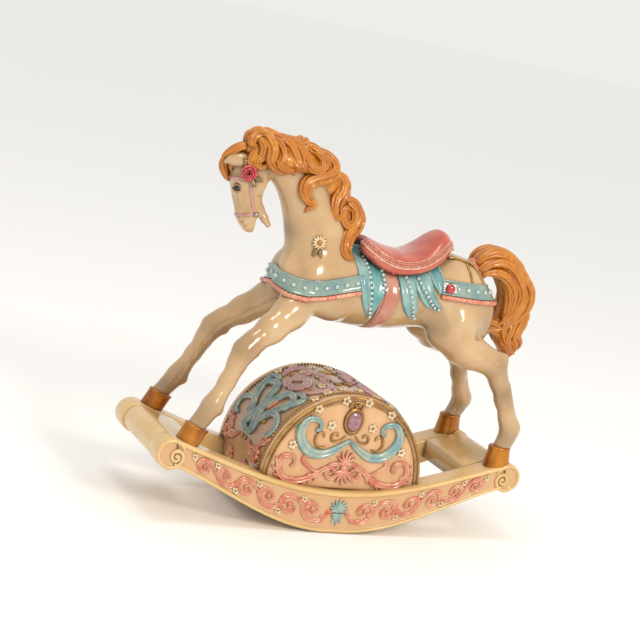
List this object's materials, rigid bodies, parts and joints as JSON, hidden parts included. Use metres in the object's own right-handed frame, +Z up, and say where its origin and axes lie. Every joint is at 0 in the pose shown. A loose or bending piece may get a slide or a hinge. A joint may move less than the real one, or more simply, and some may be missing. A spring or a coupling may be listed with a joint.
{
  "type": "rocking horse",
  "caption": "Small cast-resin rocking horse ornament on scrolled rockers, with a half-drum housing a wind-up musical movement and its winding key underneath.",
  "frame": {"origin": "centre of the whole object's box in X and Y, at the table's height under the rockers' flats", "axes": "-X the way the horse faces, -Y the horse's left side, +Z up"},
  "size_m": [0.2146, 0.0716, 0.1988],
  "materials": {
    "ivory_resin": "painted cast resin, gloss coat",
    "hair_resin": "painted cast resin, gloss coat",
    "bronze_paint": "bronze paint on cast resin",
    "coral_resin": "painted cast resin, gloss coat",
    "blue_resin": "painted cast resin, gloss coat",
    "pink_resin": "painted cast resin, gloss coat",
    "rose_resin": "painted cast resin, gloss coat",
    "white_resin": "painted cast resin, gloss coat",
    "red_jewel": "acrylic stone",
    "cream_resin": "painted cast resin, gloss coat",
    "drum_resin": "painted cast resin, gloss coat",
    "panel_resin": "painted cast resin, gloss coat",
    "gold_paint": "gold paint on cast resin",
    "amethyst_stone": "acrylic cabochon",
    "brass_parts": "turned and stamped",
    "steel_parts": "stamped"
  },
  "bodies": {
    "root": {"horse_body": "ivory_resin", "bridle": "pink_resin", "drum_shell": "drum_resin", "breast_band": "blue_resin", "mane": "hair_resin", "breeching_band": "blue_resin", "mainspring": "steel_parts", "rocker_left": "cream_resin", "rocker_right": "cream_resin", "tail": "hair_resin", "saddle_flap_right": "blue_resin", "saddle_flap_left": "blue_resin", "comb": "steel_parts", "spring_barrel": "steel_parts", "leg_rear_right": "ivory_resin", "leg_rear_left": "ivory_resin", "saddle": "coral_resin", "base_plate": "cream_resin", "leg_front_right": "ivory_resin", "leg_front_left": "ivory_resin", "governor_frame": "steel_parts", "tail_wrap": "pink_resin", "girth": "pink_resin", "cylinder_frame": "steel_parts", "forelock": "hair_resin", "bezel_left": "gold_paint", "bezel_right": "gold_paint", "cross_bar_rear": "cream_resin", "cross_bar_front": "cream_resin", "hoof_rear_left": "bronze_paint", "hoof_rear_right": "bronze_paint", "movement_bedplate": "brass_parts", "hoof_front_left": "bronze_paint", "hoof_front_right": "bronze_paint", "drum_panel_left": "panel_resin", "drum_panel_right": "panel_resin", "rose_left": "rose_resin", "rose_right": "rose_resin", "neck_daisy_right": "white_resin", "cabochon_left": "amethyst_stone", "cabochon_right": "amethyst_stone", "ear_left": "ivory_resin", "neck_daisy_left": "white_resin", "ear_right": "ivory_resin", "bit_stud_right": "steel_parts", "bit_stud_left": "steel_parts", "harness_jewel_left": "red_jewel", "harness_jewel_right": "red_jewel", "base_screw_1": "steel_parts", "base_screw_2": "steel_parts", "base_screw_3": "steel_parts", "base_screw_4": "steel_parts", "bed_screw_1": "steel_parts", "bed_screw_2": "steel_parts", "comb_block": "steel_parts"},
    "key_train": {"winding_key": "brass_parts", "drive_wheel": "brass_parts"},
    "cylinder": {"pinned_cylinder": "brass_parts"},
    "idler": {"idler_wheel": "brass_parts"},
    "governor": {"governor_fan": "steel_parts"}
  },
  "joints": [
    {"name": "key_turn", "type": "hinge", "parent": "root", "child": "key_train", "pos_m": [-0.01629, 0, 0.01], "axis": [0, 0, 1], "continuous": true},
    {"name": "cylinder_turn", "type": "hinge", "parent": "root", "child": "cylinder", "pos_m": [0, 0, 0.0346], "axis": [1, 0, 0], "continuous": true},
    {"name": "idler_turn", "type": "hinge", "parent": "root", "child": "idler", "pos_m": [0, 0.0098, 0.0346], "axis": [1, 0, 0], "continuous": true},
    {"name": "governor_turn", "type": "hinge", "parent": "root", "child": "governor", "pos_m": [0.01171, 0.0145, 0.038], "axis": [0, 0, 1], "continuous": true}
  ],
  "couplings": [
    {"joint": "cylinder_turn", "follows": "key_turn", "ratio": 3},
    {"joint": "idler_turn", "follows": "key_turn", "ratio": -9},
    {"joint": "governor_turn", "follows": "key_turn", "ratio": 108}
  ]
}
